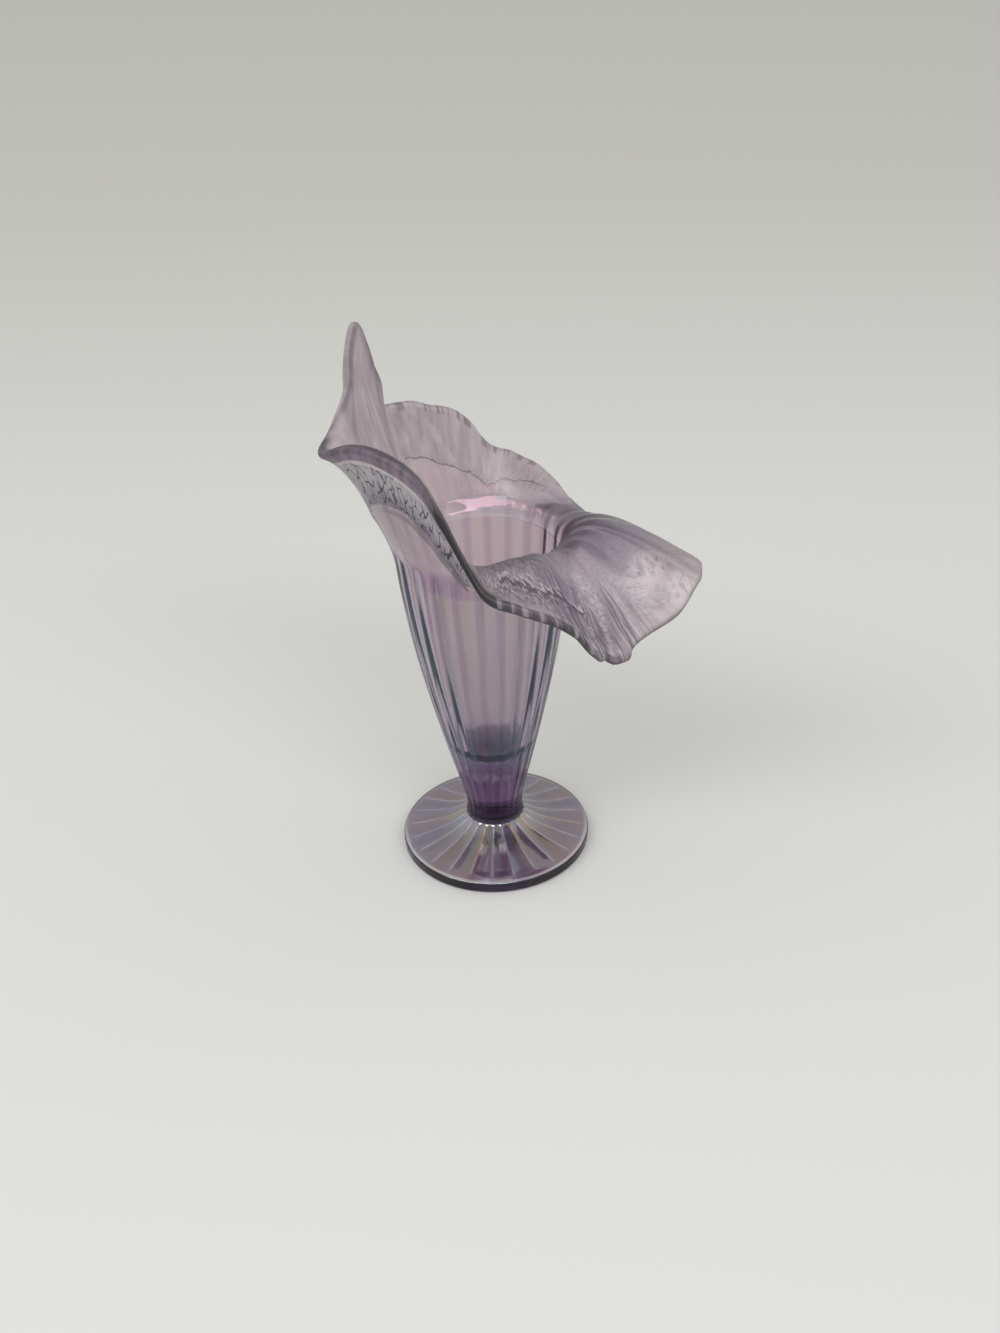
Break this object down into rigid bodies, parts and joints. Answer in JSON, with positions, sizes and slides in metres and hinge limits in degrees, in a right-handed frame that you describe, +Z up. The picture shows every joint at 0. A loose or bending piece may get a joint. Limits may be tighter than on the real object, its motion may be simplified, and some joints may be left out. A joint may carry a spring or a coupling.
{
  "type": "vase",
  "caption": "Jack-in-the-pulpit glass vase: ribbed trumpet bowl on a round foot, with its mouth drawn into a pointed hood and a drooping lip, for cut flowers.",
  "frame": {"origin": "middle of the foot's flat underside, on the vase's axis", "axes": "+Z up along the axis of the foot and the bowl, +X from the axis out along the lip, so the hood is at -X"},
  "size_m": [0.1132, 0.08, 0.1882],
  "materials": {
    "foot_glass": "pressed and ribbed, with an iridescent lustre",
    "stem_glass": "solid deep amethyst, glossy",
    "bowl_glass": "pressed and ribbed, glossy, with a faint lustre",
    "mouth_glass": "stretched satin lustre with fine crackle"
  },
  "bodies": {
    "root": {"foot": "foot_glass", "stem": "stem_glass", "bowl": "bowl_glass", "mouth": "mouth_glass"}
  },
  "joints": []
}
